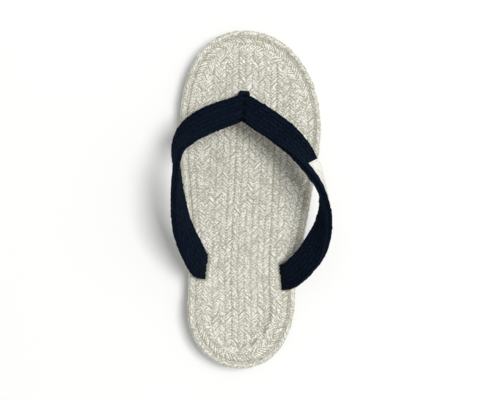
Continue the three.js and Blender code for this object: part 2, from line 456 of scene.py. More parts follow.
@dataclass
class MeshPart:
    """Vertices in millimetres, faces of one size each, and what each vertex and corner carries."""

    vertices: np.ndarray
    quads: np.ndarray
    triangles: np.ndarray
    tint: np.ndarray
    crest: np.ndarray
    lay: np.ndarray | None = None


def make_object(name: str, parts: Sequence[MeshPart], finish: Material) -> Piece:
    """One mesh object from several parts.

    Args:
        name: the piece's name.
        parts: closed meshes, gathered as they are.
        finish: the piece's material.

    Returns:
        The object, linked to the scene, with its place in its mesh.
    """
    vertices, loops, sizes, lay = [], [], [], []
    offset = 0
    for part in parts:
        vertices.append(part.vertices)
        loops.append((part.quads + offset).ravel())
        loops.append((part.triangles + offset).ravel())
        sizes += [np.full(len(part.quads), 4), np.full(len(part.triangles), 3)]
        count = 4 * len(part.quads) + 3 * len(part.triangles)
        lay.append(np.zeros((count, 2)) if part.lay is None else part.lay)
        offset += len(part.vertices)
    corners, counts = np.concatenate(loops), np.concatenate(sizes)
    points = np.concatenate(vertices) * MM
    mesh = bpy.data.meshes.new(name)
    mesh.vertices.add(len(points))
    mesh.vertices.foreach_set("co", points.ravel())
    mesh.loops.add(len(corners))
    mesh.loops.foreach_set("vertex_index", corners.astype(np.int32))
    mesh.polygons.add(len(counts))
    starts = np.concatenate([[0], np.cumsum(counts)[:-1]])
    mesh.polygons.foreach_set("loop_start", starts.astype(np.int32))
    mesh.update(calc_edges=True)
    mesh.shade_smooth()
    for label in ("tint", "crest"):
        layer = mesh.attributes.new(label, "FLOAT", "POINT")
        layer.data.foreach_set("value", np.concatenate([getattr(part, label) for part in parts]))
    mesh.uv_layers.new(name="lay").data.foreach_set("uv", np.concatenate(lay).ravel())
    mesh.materials.append(finish)
    made = bpy.data.objects.new(name, mesh)
    bpy.context.scene.collection.objects.link(made)
    return made


def make_pieces(node: str, slabs: dict[str, Slab]) -> list[Piece]:
    """Makes the pieces that stand in for one node of the maker's model.

    Args:
        node: the name of the node.
        slabs: each piece's meshes and material, by its name.

    Returns:
        The pieces in order, on the shoe's body.
    """
    made = []
    for name, (parts, finish) in slabs.items():
        piece = make_object(name, parts, finish)
        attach(piece, BODY)
        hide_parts(node)
        made.append(piece)
    return made


def plain_part(vertices: np.ndarray, quads: Sequence[Sequence[int]],
               triangles: Sequence[Sequence[int]] = (), lay: np.ndarray | None = None) -> MeshPart:
    """A part without yarns, all of one tint and low in the braid.

    Args:
        vertices: its points.
        quads: its faces with four corners.
        triangles: its faces with three corners.
        lay: what each face corner carries, if anything does.

    Returns:
        The part.
    """
    count = len(vertices)
    four, three = np.array(quads, int).reshape(-1, 4), np.array(triangles, int).reshape(-1, 3)
    return MeshPart(vertices, four, three, np.full(count, 0.5), np.zeros(count), lay)


def grid_quads(wide: int, tall: int) -> np.ndarray:
    """Quads over a grid of points, numbered row by row."""
    first = np.arange(wide * tall).reshape(wide, tall)[:-1, :-1].reshape(-1, 1)
    return first + np.array([0, tall, tall + 1, 1])


def ring_quads(rows: int, size: int, closed: bool = False) -> np.ndarray:
    """Quads between each ring of points and the next.

    Args:
        rows: how many rings there are.
        size: how many points a ring has.
        closed: whether the last ring joins the first one.

    Returns:
        Corners in the order of two on a ring and the same two on the next, backward.
    """
    number = np.arange(rows * size).reshape(rows, size)
    here = number if closed else number[:-1]
    ahead = np.roll(number, -1, axis=0) if closed else number[1:]
    beside = [np.roll(row, -1, axis=1) for row in (here, ahead)]
    return np.stack([here, beside[0], beside[1], ahead], -1).reshape(-1, 4)


def tube_part(rings: np.ndarray, closed: bool) -> MeshPart:
    """A closed skin over rings of points.

    Args:
        rings: rows of points, each ring anticlockwise seen from the row before it.
        closed: whether the last row joins the first one; if not, both ends are capped.

    Returns:
        The part, of quads and end fans.
    """
    rows, size = rings.shape[:2]
    vertices = rings.reshape(-1, 3)
    triangles = []
    if not closed:
        first, last, tail = len(vertices), len(vertices) + 1, (rows - 1) * size
        vertices = np.vstack([vertices, rings[0].mean(0), rings[-1].mean(0)])
        for i in range(size):
            j = (i + 1) % size
            triangles += [(first, j, i), (last, tail + i, tail + j)]
    return plain_part(vertices, ring_quads(rows, size, closed), triangles)


@dataclass
class Strands:
    """Short closed yarns, round in section and tapered at both ends, gathered for one piece."""

    fullness: float = 0.32
    sides: int = 6
    rings: int = 6
    tip_gap: float = 0.55
    parts: list[MeshPart] = field(default_factory=list)

    @property
    def shares(self) -> np.ndarray:
        """Places along a yarn for its first tip, its rings, closer at its ends, and its last tip."""
        turn = (np.arange(self.rings) + self.tip_gap) / (self.rings - 1 + 2 * self.tip_gap)
        return np.concatenate([[0.0], 0.5 - 0.5 * np.cos(np.pi * turn), [1.0]])

    def add(self, line: np.ndarray, up: np.ndarray, width: np.ndarray, height: np.ndarray,
            tint: np.ndarray, crest: np.ndarray) -> None:
        """Adds many yarns of one kind.

        Args:
            line: centre lines, yarn by place by axis, one place for each of shares.
            up: directions of the braid's face at each place.
            width: each yarn's width over the face.
            height: each yarn's thickness.
            tint: each yarn's own shade, from 0 to 1.
            crest: how high each place stands in the braid, from 0 to 1.
        """
        count, places = line.shape[:2]
        if not count:
            return
        along = unit(np.gradient(line, axis=1))
        side = unit(np.cross(along, up))
        above = np.cross(side, along)
        turn = 2 * np.pi * np.arange(self.sides) / self.sides
        swell = np.sin(np.pi * self.shares[1:-1]) ** self.fullness
        wide = (width[:, None] / 2 * swell)[..., None, None] * np.cos(turn)[:, None]
        high = (height[:, None] / 2 * swell)[..., None, None] * np.sin(turn)[:, None]
        body = line[:, 1:-1, None] + side[:, 1:-1, None] * wide + above[:, 1:-1, None] * high
        vertices = np.concatenate(
            [line[:, :1], body.reshape(count, -1, 3), line[:, -1:]], axis=1)
        per_yarn = vertices.shape[1]
        steps = np.linalg.norm(np.diff(line, axis=1), axis=2)
        lengths = np.concatenate([np.zeros((count, 1)), np.cumsum(steps, 1)], 1)
        quads, triangles, quad_lay, triangle_lay = self.template()
        offsets = (np.arange(count) * per_yarn)[:, None, None]
        lay = [self.lay_of(lengths, corner) for corner in (quad_lay, triangle_lay)]
        rise = [crest[:, :1], np.repeat(crest[:, 1:-1], self.sides, 1), crest[:, -1:]]
        self.parts.append(MeshPart(
            vertices.reshape(-1, 3),
            (quads[None] + offsets).reshape(-1, 4),
            (triangles[None] + offsets).reshape(-1, 3),
            np.repeat(tint, per_yarn),
            np.concatenate(rise, axis=1).ravel(),
            np.concatenate(lay)))

    @staticmethod
    def lay_of(lengths: np.ndarray, corner: np.ndarray) -> np.ndarray:
        """Where each face corner lies on its yarn.

        Args:
            lengths: how far along each yarn its places are.
            corner: the place and the turn of each face corner of one yarn.

        Returns:
            Millimetres along and turns around, corner by corner, for every yarn.
        """
        along = lengths[:, corner[:, 0].astype(int)]
        around = np.broadcast_to(corner[:, 1], along.shape)
        return np.stack([along, around], -1).reshape(-1, 2)

    def template(self) -> tuple[np.ndarray, np.ndarray, np.ndarray, np.ndarray]:
        """The faces of one yarn.

        Returns:
            Its quads and triangles, and the place and turn of each corner of either.
        """
        size, last = self.sides, 1 + (self.rings - 1) * self.sides
        quads, triangles, quad_lay, triangle_lay = [], [], [], []
        for row in range(self.rings - 1):
            for i in range(size):
                j = (i + 1) % size
                low, high = 1 + row * size, 1 + (row + 1) * size
                quads.append((low + i, high + i, high + j, low + j))
                turns = ((row + 1, i), (row + 2, i), (row + 2, i + 1), (row + 1, i + 1))
                quad_lay += [(place, turn / size) for place, turn in turns]
        for i in range(size):
            j = (i + 1) % size
            triangles += [(0, 1 + i, 1 + j), (last + size, last + j, last + i)]
            turns = ((0, i + 0.5), (1, i), (1, i + 1),
                     (self.rings + 1, i + 0.5), (self.rings, i + 1), (self.rings, i))
            triangle_lay += [(place, turn / size) for place, turn in turns]
        return (np.array(quads), np.array(triangles), np.array(quad_lay, float),
                np.array(triangle_lay, float))


def longest_runs(kept: np.ndarray, shares: np.ndarray) -> tuple[np.ndarray, np.ndarray]:
    """The ends of the longest kept stretch of each row.

    Args:
        kept: rows of flags, one flag for each share.
        shares: places along a row.

    Returns:
        First and last share of the longest stretch, the same twice where nothing is kept.
    """
    first, last = np.full(len(kept), shares[0]), np.full(len(kept), shares[-1])
    for row in np.nonzero(~kept.all(1))[0]:
        steps = np.diff(np.concatenate([[0], kept[row].astype(int), [0]]))
        starts, ends = np.nonzero(steps == 1)[0], np.nonzero(steps == -1)[0] - 1
        if len(starts) == 0:
            last[row] = shares[0]
            continue
        best = (ends - starts).argmax()
        first[row], last[row] = shares[starts[best]], shares[ends[best]]
    return first, last


@dataclass(frozen=True)
class FlatBraid:
    """A flat cotton braid laid on the sole: V-shaped stitches, each arm of two yarns.

    The spreads are the small irregularities of a braid made by hand, as standard deviations.
    """

    width: float
    pitch: float = 4.2
    yarns: int = 2
    slope: float = 1.0
    overlap: float = 0.2
    tuck: float = 1.5
    yarn_width: float = 1.52
    yarn_height: float = 1.7
    least: float = 0.22
    samples: int = 25
    apex_spread: float = 0.09
    lean_spread: float = 0.05
    shift_spread: float = 0.25
    width_spread: float = 0.07
    height_spread: float = 0.06
    level: float = 0.04
    level_spread: float = 0.08

    def arms(self, course: Course, kept: PointRule, rng: np.random.Generator, shares: np.ndarray
             ) -> tuple[np.ndarray, np.ndarray, np.ndarray]:
        """Arms of the stitches along a course, whose Vs open forward.

        Args:
            course: the line the braid follows.
            kept: says which points of the sole the braid may reach.
            rng: the source of small irregularities.
            shares: places along a yarn.

        Returns:
            Points on the sole, yarn by place, the depth of each place below the crest, and
            the crest shade of each place.
        """
        half = self.width / 2
        reach = 0.0 if course.closed else self.slope * half
        stitches = int(round((course.length + 2 * reach) / self.pitch))
        apexes = np.linspace(-reach, course.length + reach, stitches, endpoint=False)
        apex, side, yarn = (grid.ravel() for grid in np.meshgrid(
            apexes, (-1.0, 1.0), np.arange(self.yarns), indexing="ij"))
        count = len(apex)
        offset = (yarn - (self.yarns - 1) / 2) * self.pitch / self.yarns
        apex = apex + offset + (side > 0) * self.pitch / 2 + rng.normal(0.0, self.apex_spread, count)
        lean = self.slope * (1.0 + rng.normal(0.0, self.lean_spread, count))
        shift = rng.normal(0.0, self.shift_spread, count)

        def line(share: np.ndarray) -> tuple[np.ndarray, np.ndarray]:
            """Points of every arm.

            Args:
                share: places along the arms, row by row.

            Returns:
                The points, and which of them lie between the ends of the course.
            """
            over = share * (1.0 + 2 * self.overlap) - self.overlap
            across = side[:, None] * half * (1.0 - over) + shift[:, None]
            along = apex[:, None] + (lean * half)[:, None] * (1.0 - over)
            inside = course.closed | ((along >= 0.0) & (along <= course.length))
            return course.place(along, across), inside

        fine = np.linspace(0.0, 1.0, self.samples)
        points, inside = line(np.broadcast_to(fine, (count, self.samples)))
        start, end = longest_runs(inside & kept(points), fine)
        good = end - start > self.least
        share = start[:, None] + (end - start)[:, None] * shares
        points, _ = line(share)
        rise = np.sin(np.pi * np.clip(shares, 0.0, 1.0)) ** 0.5
        sunk = np.broadcast_to(self.tuck * (1.0 - rise), share.shape)
        return points[good], sunk[good], np.broadcast_to(rise, share.shape)[good]


# ---- Sole layers ----


@dataclass
class BraidedLayer:
    """One layer of the sole: braid wound once round inside its edge, straight runs between."""

    outline: Outline
    face: Face
    name: str
    slot: str
    seed: int
    winding_width: float = 9.7
    run_width: float = 9.5
    first_depth: float = 5.1
    winding_spill: float = 0.2
    run_spill: float = 1.5
    joints: tuple[float, ...] = (-9.5, 19.0)
    joint_sink: float = 0.4
    joint_width: float = 1.0
    heel_bend: float = 2.5
    heel_bend_y: tuple[float, float] = (-88.0, -48.0)
    core_depth: float = 1.0
    nudge: float = 0.5
    run_points: int = 251
    openings: list[PointRule] = field(default_factory=list)

    @property
    def field_depth(self) -> float:
        """How far inside the edge the straight runs start."""
        return self.first_depth + self.winding_width

    def crest(self, points: np.ndarray) -> np.ndarray:
        """The height of the braid's crest.

        Args:
            points: points of the sole.

        Returns:
            One height for each point.
        """
        spring = self.outline.spring(points[..., 1])
        if self.face is Face.UNDER:
            return spring
        return FOOTBED_TOP + self.outline.raised(points, self.outline.depth(points)) + spring

    def up(self, points: np.ndarray) -> np.ndarray:
        """The direction in which the layer's face looks.

        Args:
            points: points of the sole.

        Returns:
            One direction for each point, from the slope of the crest there.
        """
        slope = [(self.crest(points + step) - self.crest(points - step)) / (2 * self.nudge)
                 for step in self.nudge * np.eye(2)]
        normal = unit(np.stack([-slope[0], -slope[1], np.ones_like(slope[0])], -1))
        return normal * self.face.value

    def middle(self, y: np.ndarray) -> np.ndarray:
        """The x of the middle run at y, which bends outward a little at the heel."""
        return self.outline.middle(y) + self.heel_bend * (1.0 - smooth(y, *self.heel_bend_y))

    def joint(self, points: np.ndarray) -> np.ndarray:
        """How far the surface sinks where two lengths of braid are sewn together.

        Args:
            points: points of the sole.

        Returns:
            The depth at each point.
        """
        sink = np.zeros(points.shape[:-1])
        across = points[..., 0] - self.middle(points[..., 1])
        for place in self.joints:
            sink += self.joint_sink * np.exp(-(((across - place) / self.joint_width) ** 2))
        return sink * (self.outline.depth(points) > self.field_depth)

    def within(self, depth: float) -> PointRule:
        """A rule for points that are deeper inside the edge and clear of every opening.

        Args:
            depth: how deep inside the edge a point has to be.

        Returns:
            The rule, which says of each point whether a braid may reach it.
        """
        def rule(points: np.ndarray) -> np.ndarray:
            """Which points a braid may reach."""
            tests = [self.outline.depth(points) > depth, *(~hole(points) for hole in self.openings)]
            return np.logical_and.reduce(tests)

        return rule

    def winding(self) -> list[Course]:
        """The line of the winding, as the one entry of a list."""
        return [self.outline.inset(self.first_depth + self.winding_width / 2)]

    def runs(self) -> list[Course]:
        """The lines of the straight runs, heel to toe.

        Returns:
            One course for each run, from the inner side to the outer.
        """
        y = np.linspace(-self.outline.length / 2, self.outline.length / 2, self.run_points)
        reach = int(self.outline.ball_width / 2 / self.run_width)
        sides = [self.middle(y) + (k + 0.5) * self.run_width for k in range(-reach, reach)]
        return [Course(np.stack([x, y], 1)) for x in sides]

    def lay(self, courses: Sequence[Course], kept: PointRule, width: float) -> Strands:
        """Yarns along courses, kept where the layer allows them.

        Args:
            courses: the lines that braids follow.
            kept: says which points of the sole the braids may reach.
            width: the width of each braid.

        Returns:
            The gathered yarns.
        """
        rng = np.random.default_rng(self.seed)
        strands = Strands()
        braid = FlatBraid(width)
        for course in courses:
            points, sunk, rise = braid.arms(course, kept, rng, strands.shares)
            count = len(points)
            if not count:
                continue
            wide = braid.yarn_width * (1.0 + rng.normal(0.0, braid.width_spread, count))
            high = braid.yarn_height * (1.0 + rng.normal(0.0, braid.height_spread, count))
            level = np.maximum(rng.normal(braid.level, braid.level_spread, count), 0.0)[:, None]
            up = self.up(points)
            base = np.concatenate([points, self.crest(points)[..., None]], -1)
            down = sunk + high[:, None] / 2 + (level + self.joint(points))
            strands.add(base - up * down[..., None], up, wide, high,
                        rng.uniform(0.0, 1.0, count), rise)
        return strands

    def core(self) -> MeshPart:
        """The closed body of the layer, a little below the crest of its braids.

        Returns:
            The body: rings over its top and underside, each face closed down its middle.
        """
        # Rings under the rim, over the heel ring's dome, down its slope and inside it.
        inside = HEEL_RING_WIDTH
        depths = [-1.3, 1.6, inside * 0.6, inside, inside + HEEL_RING_SLOPE * 0.5,
                  inside + HEEL_RING_SLOPE, inside + 8.0]
        is_top = self.face is Face.TOP
        top = FOOTBED_TOP - self.core_depth if is_top else SOLE_THICKNESS
        bottom = FOOTBED_BASE if is_top else self.core_depth
        edge, left = self.outline.edge.line[:-1:3], self.outline.edge.left[:-1:3]
        rows = []
        for depth, base in [(d, top) for d in depths[::-1]] + [(d, bottom) for d in depths]:
            points = edge + left * (FIELD_EDGE + depth)
            height = base + self.outline.spring(points[:, 1])
            if is_top and base == top:
                height = height + self.outline.raised(points, np.full(len(points), FIELD_EDGE + depth))
            rows.append(np.concatenate([points, height[:, None]], 1))
        count, size = len(rows), len(edge)
        vertices = np.concatenate(rows)
        quads, triangles = ring_quads(count, size)[:, [0, 3, 2, 1]].tolist(), []
        for ring in (0, count - 1):
            spine = self.spine(rows[ring])
            start = len(vertices)
            vertices = np.vstack([vertices, spine])
            near = [int(np.abs(spine[:, 1] - y).argmin()) for y in rows[ring][:, 1]]
            for i in range(size):
                j = (i + 1) % size
                face = [ring * size + i, ring * size + j, start + near[j]]
                if near[i] != near[j]:
                    face.append(start + near[i])
                (triangles if near[i] == near[j] else quads).append(face[::-1] if ring else face)
        return plain_part(vertices, quads, triangles)

    @staticmethod
    def spine(ring: np.ndarray) -> np.ndarray:
        """Points down the middle of a ring.

        Args:
            ring: the ring's points, which start at its toe.

        Returns:
            One point between every other pair of opposite points, none near either end.
        """
        half = len(ring) // 2
        pairs = (ring[1:half] + ring[:half:-1][:half - 1]) / 2
        return pairs[6:-6:2]

    def build(self, finish: Material, core_finish: Material) -> list[Piece]:
        """Makes the layer's pieces.

        Args:
            finish: the material of the braids.
            core_finish: the material between them.

        Returns:
            The core, the windings and the straight runs.
        """
        rim_edge, field_edge = self.first_depth - self.winding_spill, self.field_depth - self.run_spill
        wound = self.lay(self.winding(), self.within(rim_edge), self.winding_width)
        straight = self.lay(self.runs(), self.within(field_edge), self.run_width)
        return make_pieces(self.name, {
            f"{self.name}_core": ([self.core()], core_finish),
            f"{self.name}_windings": (wound.parts, finish),
            f"{self.name}_runs": (straight.parts, finish),
        })


@dataclass
class SectionPath:
    """A line round a section, and its outward normals."""

    points: np.ndarray
    step: float = 0.1

    def __post_init__(self) -> None:
        """Spaces the points evenly and works out the normals."""
        self.points = evenly(self.points, self.step)
        self.stations = distances(self.points)
        self.length = float(self.stations[-1])
        along = unit(np.gradient(self.points, axis=0))
        self.normals = np.stack([-along[:, 1], along[:, 0]], 1)

    def at(self, distance: np.ndarray, inward: np.ndarray) -> tuple[np.ndarray, np.ndarray]:
        """Points of the section and their normals.

        Args:
            distance: distances along the line.
            inward: how far below the line.

        Returns:
            The points and the outward normals, each with one more axis of length two.
        """
        point, normal = (read(distance, self.stations, values) for values in (self.points, self.normals))
        normal = unit(normal)
        return point - normal * inward[..., None], normal


@dataclass
class EdgeBraid:
    """The braid that stands on edge round the sole and binds its layers."""

    outline: Outline
    braid: "BandBraid"
    inner_reach: float = 2.4
    outer_reach: float = 1.5
    plain_height: float = FOOTBED_TOP + RIM_PROUD - RIM_FLOOR
    core_depth: float = 1.1
    core_step: float = 3.0
    seed: int = 23
    avoid: PointRule | None = None

    def height(self, y: np.ndarray) -> np.ndarray:
        """The braid's height at y, which is more at the heel."""
        return self.plain_height + HEEL_RING_RISE * self.outline.heel_ring(y)

    def outer_path(self) -> SectionPath:
        """The line round the section as depth and height: up the outside, over, down the inside.

        Returns:
            The path, which starts under the sole and ends behind the first winding.
        """
        half, thick = self.plain_height / 2, RIM_THICKNESS
        return SectionPath(np.vstack([
            [(thick - self.outer_reach, -half)],
            corners((0.0, thick, -half, half), RIM_ROUND, (270.0, 180.0, 90.0), -90.0),
            [(thick, half - RIM_ROUND - self.inner_reach)],
        ]))

    def place(self, along: np.ndarray, depth: np.ndarray, height: np.ndarray) -> np.ndarray:
        """Points of the rim.

        Args:
            along: distances round the edge.
            depth: distances inside the edge.
            height: heights over the middle of the section, stretched where the braid is higher.

        Returns:
            The points, with one more axis of length three.
        """
        flat = self.outline.edge.place(along, depth)
        tall = self.height(flat[..., 1])
        z = RIM_FLOOR + tall / 2 + height * tall / self.plain_height
        return np.concatenate([flat, (z + self.outline.spring(flat[..., 1]))[..., None]], -1)

    def frames(self, along: np.ndarray) -> tuple[np.ndarray, np.ndarray]:
        """The directions across and out of the standing braid.

        Args:
            along: distances round the edge.

        Returns:
            The directions inward and up.
        """
        edge, zero = self.outline.edge, np.zeros_like(along)
        inward = unit(edge.place(along, zero + 1.0) - edge.place(along, zero))
        inward = np.concatenate([inward, zero[..., None]], -1)
        return inward, np.broadcast_to(np.array([0.0, 0.0, 1.0]), inward.shape)

    def strands(self) -> Strands:
        """The yarns round the rim's outside, top and inner lip.

        Returns:
            The gathered yarns, kept clear of the strap.
        """
        strands = Strands(0.34)
        self.braid.floats(self, self.outer_path(), (0.0, self.outline.edge.length), strands,
                          np.random.default_rng(self.seed), moved=self.avoid, closed=True)
        return strands

    def core(self) -> MeshPart:
        """The closed band under the yarns.

        Returns:
            The band, kept clear of the strap.
        """
        inset, tall = self.core_depth, self.plain_height / 2 - self.core_depth
        section = corners((inset, RIM_THICKNESS - inset, -tall, tall), RIM_ROUND - inset,
                          (180.0, 90.0, 0.0, 270.0), -90.0, 3)
        stations = np.arange(0.0, self.outline.edge.length - 1.0, self.core_step)
        rings = self.place(*(np.broadcast_to(part, (len(stations), len(section))) for part in (
            stations[:, None], section[:, 0], section[:, 1])))
        return tube_part(rings if self.avoid is None else self.avoid(rings), closed=True)

    def build(self, finish: Material, core_finish: Material) -> list[Piece]:
        """Makes the rim's pieces.

        Args:
            finish: the material of the braid.
            core_finish: the material under it.

        Returns:
            The core and the braid.
        """
        return make_pieces("rim", {
            "rim_core": ([self.core()], core_finish),
            "rim_braid": (self.strands().parts, finish),
        })


# ---- Strap and toe post ----


@dataclass(frozen=True)
class BandBraid:
    """A dense braid round a band: columns of short slanted floats, leaning left and right.

    The spreads are the small irregularities of a braid, as standard deviations.
    """

    column: float = 3.2
    pitch: float = 3.5
    yarns: int = 2
    yarn_width: float = 1.5
    yarn_height: float = 1.5
    tuck: float = 1.2
    overlap: float = 0.4
    pairing: float = 0.95
    least_mm: float = 0.5
    along_spread: float = 0.14
    around_spread: float = 0.1
    lean_spread: float = 0.08
    width_spread: float = 0.08
    height_spread: float = 0.06
    level_spread: float = 0.16

    def floats(self, band: "Band | EdgeBraid", path: SectionPath, ends: tuple[float, float],
               strands: Strands, rng: np.random.Generator,
               press: Callable[[np.ndarray, np.ndarray], np.ndarray] | None = None,
               moved: PointRule | None = None, closed: bool = False) -> None:
        """Adds the floats of a braid that covers a line round a band's section.

        Args:
            band: the band.
            path: the line round its section, as distances across and out.
            ends: where along the band the braid starts and ends.
            strands: the yarns to add to.
            rng: the source of small irregularities.
            press: how far the braid is pressed in, from distances along and across.
            moved: moves the centre lines clear of a neighbour.
            closed: whether the band is a loop.
        """
        first, last = ends
        columns = max(2, int(round(path.length / self.column)))
        column = path.length / columns
        share = strands.shares
        rows = int((last - first) / self.pitch)
        pitch = (last - first) / rows
        k, row, yarn = (grid.ravel() for grid in np.meshgrid(
            np.arange(columns), np.arange(rows), np.arange(self.yarns), indexing="ij"))
        count = len(k)
        lean = np.where(k % 2 == 0, 1.0, -1.0)
        middle = first + (row + 0.5 + 0.5 * (k % 2)) * pitch
        middle = middle + (yarn - 0.5) * pitch / self.yarns * self.pairing
        middle = middle + rng.normal(0.0, self.along_spread, count)
        q = (share - 0.5) * (1.0 + self.overlap)
        around = (k + 0.5)[:, None] * column + q * column
        around = around + rng.normal(0.0, self.around_spread, count)[:, None]
        lean = lean * (1.0 + rng.normal(0.0, self.lean_spread, count))
        along = middle[:, None] + lean[:, None] * q * column
        if not closed:
            along = np.clip(along, first, last)
        around = np.clip(around, 0.0, path.length)
        wide = self.yarn_width * (1.0 + rng.normal(0.0, self.width_spread, count))
        high = self.yarn_height * (1.0 + rng.normal(0.0, self.height_spread, count))
        rise = np.sin(np.pi * share) ** 0.7
        level = rng.normal(0.0, self.level_spread, count)[:, None]
        sunk = self.tuck * (1.0 - rise) + high[:, None] / 2 + level
        if press is not None:
            sunk = sunk + press(along, path.at(around, np.zeros_like(around))[0][..., 0])
        point, normal = path.at(around, sunk)
        line = band.place(along, point[..., 0], point[..., 1])
        if moved is not None:
            line = moved(line)
        across, out = band.frames(along)
        up = unit(across * normal[..., :1] + out * normal[..., 1:])
        good = np.linalg.norm(line[:, -1] - line[:, 0], axis=1) > self.least_mm
        strands.add(line[good], up[good], wide[good], high[good],
                    rng.uniform(0.0, 1.0, count)[good], np.broadcast_to(rise, line.shape[:2])[good])


@dataclass
class Strap:
    """The wide navy strap: two arms of doubled braid, joined in a mitre at the toe post.

    Each arm is a row of stations from the mitre to its hidden end. A station has its place,
    outward of the heel's edge, forward of the heel tip and over the footbed, and the
    direction across the strap there, all as on the outer side.
    """

    outline: Outline
    width: float = 20.0
    thickness: float = 5.6
    layer_round: float = 1.35
    layer_gap: float = 0.02
    core_depth: float = 0.95
    seam_turn: float = 5.0
    fold: tuple[float, float] = (2.0, 5.0)
    fold_depth: float = 0.8
    slit_play: float = 0.35
    rim_play: float = 0.5
    end_reach: float = 2.0
    slit_level: float = 0.3
    tucked_edge: float = 1.0
    crease_middle: float = 0.55
    squeeze: float = 0.8
    waist: float = 0.7
    braid_ends: tuple[float, float] = (0.1, 3.0)
    core_starts: tuple[float, ...] = (0.0, 0.8, 1.8, 3.2)
    core_rest: tuple[float, float] = (5.0, 2.5)
    braid: BandBraid = BandBraid()
    seed: int = 37
    apex: tuple[float, float, float] = (-2.2, 191.2, 23.0)
    inner_arm: tuple = (
        ((-12.5, 181.5, 25.5), (0.36, 0.9, -0.25)),
        ((1.0, 172.5, 28.0), (0.46, 0.6, -0.65)),
        ((9.0, 159.0, 30.0), (0.18, 0.2, -0.96)),
        ((9.5, 141.0, 31.0), (-0.12, 0.05, -1.0)),
        ((8.0, 122.0, 30.0), (-0.36, 0.18, -0.91)),
        ((4.5, 104.0, 25.0), (-0.52, 0.42, -0.74)),
        ((-2.0, 89.0, 16.0), (-0.5, 0.75, -0.42)),
        ((-8.2, 77.8, 6.2), (-0.2, 0.97, -0.1)),
        ((-12.8, 75.3, STRAP_END_LIFT - FOOTBED_THICKNESS), (-0.05, 1.0, 0.0)),
    )
    outer_arm: tuple = (
        ((-20.5, 177.5, 25.5), (0.48, 0.83, -0.25)),
        ((-5.5, 165.0, 28.0), (0.6, 0.6, -0.5)),
        ((5.5, 150.0, 30.0), (0.5, 0.35, -0.8)),
        ((13.0, 134.0, 31.0), (0.2, 0.1, -0.97)),
        ((16.2, 117.0, 30.0), (-0.12, 0.12, -0.98)),
        ((14.0, 101.0, 26.0), (-0.45, 0.33, -0.82)),
        ((7.5, 85.5, 18.5), (-0.6, 0.68, -0.4)),
        ((-4.8, 70.3, 7.0), (-0.3, 0.94, -0.12)),
        ((-10.4, 67.6, STRAP_END_LIFT - FOOTBED_THICKNESS), (-0.02, 1.0, 0.0)),
    )

    def __post_init__(self) -> None:
        """Lays out both arms."""
        turn = math.radians(self.seam_turn)
        seam = np.array([math.cos(turn), -math.sin(turn), 0.0])
        self.bands = {
            Hand.INNER: self.band(self.inner_arm, Hand.INNER, seam),
            Hand.OUTER: self.band(self.outer_arm, Hand.OUTER, seam),
        }

    def spot(self, x: float, station: float, height: float) -> np.ndarray:
        """A point from its x, its station and its height over the footbed."""
        return np.array([x, self.outline.heel_y + station, FOOTBED_TOP + height])

    def band(self, arm: tuple, hand: Hand, seam: np.ndarray) -> Band:
        """One arm.

        Args:
            arm: its stations and directions.
            hand: its side.
            seam: the normal of the mitre's plane.

        Returns:
            The band from the mitre to the arm's hidden end.
        """
        side, edge = hand.value, self.outline.heel_width / 2
        stations = [self.spot(*self.apex)]
        stations += [self.spot(side * (edge + outward), *rest) for (outward, *rest), _ in arm]
        directions = [np.array([side * x, y, z]) for _, (x, y, z) in (arm[0], *arm)]
        return Band(np.array(stations), np.array(directions), side, seam)

    def layer_path(self, front: bool) -> SectionPath:
        """The line round one of the strap's two layers, edge to edge over its face.

        Args:
            front: whether it is the outer layer.

        Returns:
            The path, whose ends are tucked in between the layers.
        """
        half, tucked = self.width / 2, self.width / 2 - self.layer_round - self.tucked_edge
        path = np.vstack([
            [(-tucked, self.layer_gap)],
            corners((-half, half, self.layer_gap, self.thickness / 2), self.layer_round,
                    (270.0, 180.0, 90.0, 0.0), -90.0),
            [(tucked, self.layer_gap)],
        ])
        return SectionPath(path if front else path[::-1] * np.array([1.0, -1.0]))

    def crease(self, along: np.ndarray, across: np.ndarray) -> np.ndarray:
        """How far the mitre seam pulls the braid in, deepest at the seam's rear end.

        Args:
            along: distances from the mitre.
            across: distances over the face, from its middle.

        Returns:
            A sharp fold in a wide soft one.
        """
        rearward = np.clip(-across / (self.width / 2), -1.0, 1.0)
        share = self.crease_middle + (1.0 - self.crease_middle) * rearward
        return sum(self.fold_depth * np.exp(-((along / reach) ** 2)) for reach in self.fold) * share

    def strands(self, hand: Hand) -> Strands:
        """The yarns of one arm.

        Args:
            hand: the arm's side.

        Returns:
            The gathered yarns of both layers.
        """
        band = self.bands[hand]
        rng = np.random.default_rng(self.seed + hand.value)
        strands = Strands(0.38)
        ends = self.braid_ends[0], band.length - self.braid_ends[1]
        for front in (True, False):
            self.braid.floats(band, self.layer_path(front), ends, strands, rng, self.crease)
        return strands

    def core(self) -> MeshPart:
        """The closed body inside the braid.

        Returns:
            One tube from end to end, through the mitre.
        """
        thick = self.thickness / 2
        side, top = self.width / 2 - self.core_depth, thick - self.core_depth
        box, waist = (-side, side, -top, top), side - self.waist
        section = np.vstack([
            corners(box, self.layer_round, (0.0, 90.0), 90.0, 3), [(-waist, 0.0)],
            corners(box, self.layer_round, (180.0, 270.0), 90.0, 3), [(waist, 0.0)],
        ])
        rows: dict[Hand, list[np.ndarray]] = {}
        for hand, band in self.bands.items():
            start, step = self.core_rest
            stations = np.concatenate([self.core_starts, np.arange(start, band.length, step)])
            rows[hand] = []
            for station in stations:
                along = np.full(len(section), station)
                press = self.crease(along, section[:, 0])
                squeezed = section[:, 1] * (1.0 - press / thick * self.squeeze)
                rows[hand].append(band.place(along, section[:, 0], squeezed))
        mitre = (rows[Hand.INNER][0] + rows[Hand.OUTER][0]) / 2
        rings = np.stack([*rows[Hand.INNER][:0:-1], mitre, *rows[Hand.OUTER][1:]])
        return tube_part(rings[:, ::-1], closed=False)

